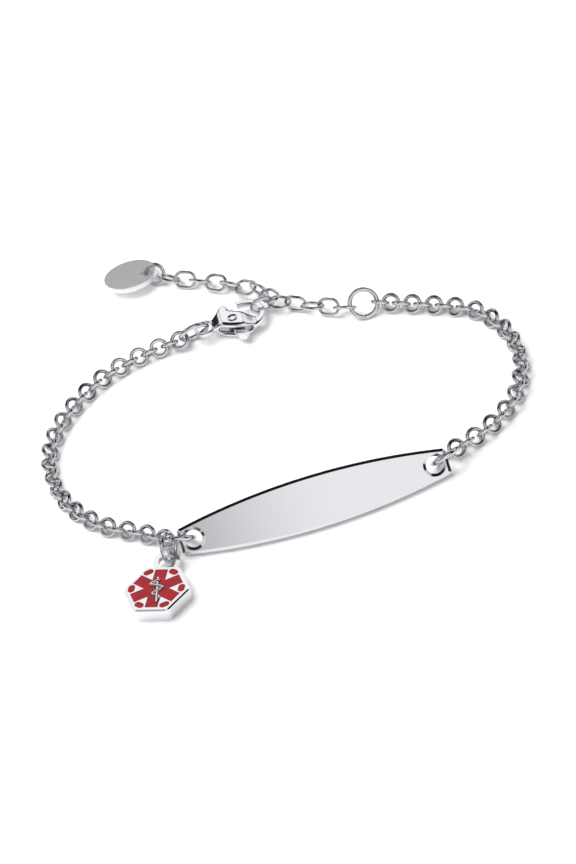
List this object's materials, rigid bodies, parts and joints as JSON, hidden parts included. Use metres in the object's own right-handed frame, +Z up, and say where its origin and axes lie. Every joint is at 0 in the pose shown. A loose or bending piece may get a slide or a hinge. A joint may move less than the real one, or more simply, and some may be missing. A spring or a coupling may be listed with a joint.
{
  "type": "medical alert bracelet",
  "caption": "Fastened medical alert bracelet: bowed plate, round-link chain, lobster clasp on an extension chain with a round tag, and a hexagonal enamel charm, lying flat.",
  "frame": {"origin": "middle of the bounding box, on the surface the bracelet lies on", "axes": "+X along the plate towards its right end as seen from the front, +Z up, -Y out of the plate's front"},
  "size_m": [0.0724, 0.0788, 0.0066],
  "materials": {
    "steel": "polished",
    "satin_steel": "satin",
    "enamel": "glossy"
  },
  "bodies": {
    "bracelet": {"id_plate": "steel", "plate_ring_left": "steel", "plate_ring_right": "steel", "chain_left": "steel", "chain_right": "steel", "clasp_ring": "steel", "clasp_body": "steel", "clasp_pin": "steel", "end_ring": "steel", "extension_chain": "steel", "tag_ring": "steel", "end_tag": "satin_steel", "charm_ring": "steel", "charm_body": "steel", "charm_enamel": "enamel", "serpent_staff": "steel"},
    "lever": {"clasp_lever": "steel"}
  },
  "joints": [
    {"name": "clasp_lever", "type": "hinge", "parent": "bracelet", "child": "lever", "pos_m": [-0.00324, 0.01686, 0.0014], "axis": [0, 0, -1], "range_deg": [0, 25], "stiffness_Nm_per_rad": 0.03}
  ]
}
